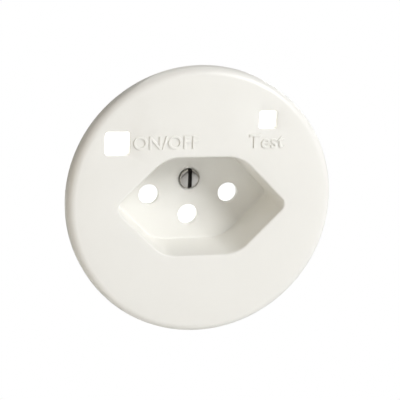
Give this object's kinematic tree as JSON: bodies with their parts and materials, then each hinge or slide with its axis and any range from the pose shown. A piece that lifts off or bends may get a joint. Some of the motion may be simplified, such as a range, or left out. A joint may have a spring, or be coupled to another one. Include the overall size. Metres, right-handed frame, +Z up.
{
  "type": "residual current socket outlet",
  "caption": "Round flush socket outlet with a hexagonal three-pin recess, safety shutter, ON/OFF and test buttons and a built-in residual-current switch.",
  "frame": {"origin": "centre of the wall plane, on the rear face of the support plate, behind the disc's centre", "axes": "+X to the right seen from the front, +Z up, -Y out of the wall towards the user"},
  "size_m": [0.071, 0.0412, 0.061],
  "materials": {
    "white_thermoplastic": "satin, warm white",
    "button_white": "satin, pure white",
    "housing_grey": "fine texture, dark grey",
    "mechanism_plastic": "fine texture, black",
    "lever_plastic": "satin, orange",
    "zinc_steel": "zinc plated",
    "screw_steel": "nickel plated, slotted",
    "brass": "drawn",
    "contact_bronze": "stamped strip",
    "spring_steel": "bright",
    "wire_brown": "insulation",
    "wire_blue": "insulation",
    "thin_wire_black": "insulation",
    "ferrite": "coated core",
    "enamelled_copper": "lacquered",
    "board_green": "solder mask",
    "chip_black": "moulded",
    "capacitor_aluminium": "satin",
    "resistor_body": "lacquered"
  },
  "bodies": {
    "housing": {"front_cover": "white_thermoplastic", "support_plate": "zinc_steel", "plate_screws": "screw_steel", "cover_screw": "screw_steel", "screw_insert": "brass", "front_housing": "housing_grey", "contact_base": "housing_grey", "rear_housing": "housing_grey", "housing_screws": "screw_steel", "shutter_spring": "spring_steel", "live_contact": "contact_bronze", "neutral_contact": "contact_bronze", "earth_contact": "contact_bronze", "supply_contact_live": "contact_bronze", "supply_contact_neutral": "contact_bronze", "opening_spring": "spring_steel", "rocker_pin": "screw_steel", "trip_relay": "mechanism_plastic", "trip_pin": "screw_steel", "test_spring": "spring_steel", "test_resistor": "resistor_body", "transformer_core": "ferrite", "secondary_winding": "enamelled_copper", "live_lead": "wire_brown", "neutral_lead": "wire_blue", "live_terminal": "brass", "neutral_terminal": "brass", "earth_terminal": "brass", "terminal_screws": "screw_steel", "circuit_board": "board_green", "sense_chip": "chip_black", "filter_capacitor": "capacitor_aluminium", "board_resistors": "chip_black", "winding_wires": "thin_wire_black", "relay_wires": "thin_wire_black"},
    "shutter": {"shutter": "button_white"},
    "on_off": {"on_off_button": "button_white"},
    "rocker": {"rocker_lever": "lever_plastic"},
    "carrier": {"contact_carrier": "mechanism_plastic", "moving_contact_live": "contact_bronze", "moving_contact_neutral": "contact_bronze", "contact_spring_live": "spring_steel", "contact_spring_neutral": "spring_steel"},
    "plunger": {"trip_plunger": "screw_steel"},
    "trip_arm": {"trip_lever": "lever_plastic"},
    "test": {"test_button": "button_white"},
    "leaf": {"test_leaf": "contact_bronze"}
  },
  "joints": [
    {"name": "shutter_slide", "type": "slide", "parent": "housing", "child": "shutter", "axis": [0, 0, -1], "range_m": [0, 0.0056], "stiffness_N_per_m": 60, "springref_m": -0.003, "deforming": ["shutter_spring"]},
    {"name": "on_off_slide", "type": "slide", "parent": "housing", "child": "on_off", "axis": [0, 1, 0], "range_m": [0, 0.0022]},
    {"name": "rocker_hinge", "type": "hinge", "parent": "housing", "child": "rocker", "pos_m": [-0.0106, 0.01975, 0], "axis": [0, 0, -1], "range_deg": [0, 15.81]},
    {"name": "carrier_slide", "type": "slide", "parent": "housing", "child": "carrier", "axis": [0, -1, 0], "range_m": [0, 0.0022], "deforming": ["opening_spring"]},
    {"name": "trip_slide", "type": "slide", "parent": "housing", "child": "plunger", "axis": [0, -1, 0], "range_m": [0, 0.001]},
    {"name": "trip_hinge", "type": "hinge", "parent": "housing", "child": "trip_arm", "pos_m": [0.0089, 0.0189, 0], "axis": [0, 0, -1], "range_deg": [0, 15.54]},
    {"name": "test_slide", "type": "slide", "parent": "housing", "child": "test", "axis": [0, 1, 0], "range_m": [0, 0.0013], "stiffness_N_per_m": 300, "springref_m": -0.001, "deforming": ["test_spring"]},
    {"name": "leaf_hinge", "type": "hinge", "parent": "housing", "child": "leaf", "pos_m": [0.0016, 0.0173, 0], "axis": [0, 0, 1], "range_deg": [0, 6.06]}
  ],
  "couplings": [
    {"joint": "rocker_hinge", "follows": "on_off_slide", "rad_per_m": 125},
    {"joint": "carrier_slide", "follows": "on_off_slide", "ratio": 1},
    {"joint": "trip_hinge", "follows": "trip_slide", "rad_per_m": 270.27},
    {"joint": "leaf_hinge", "follows": "test_slide", "rad_per_m": 80.645}
  ]
}
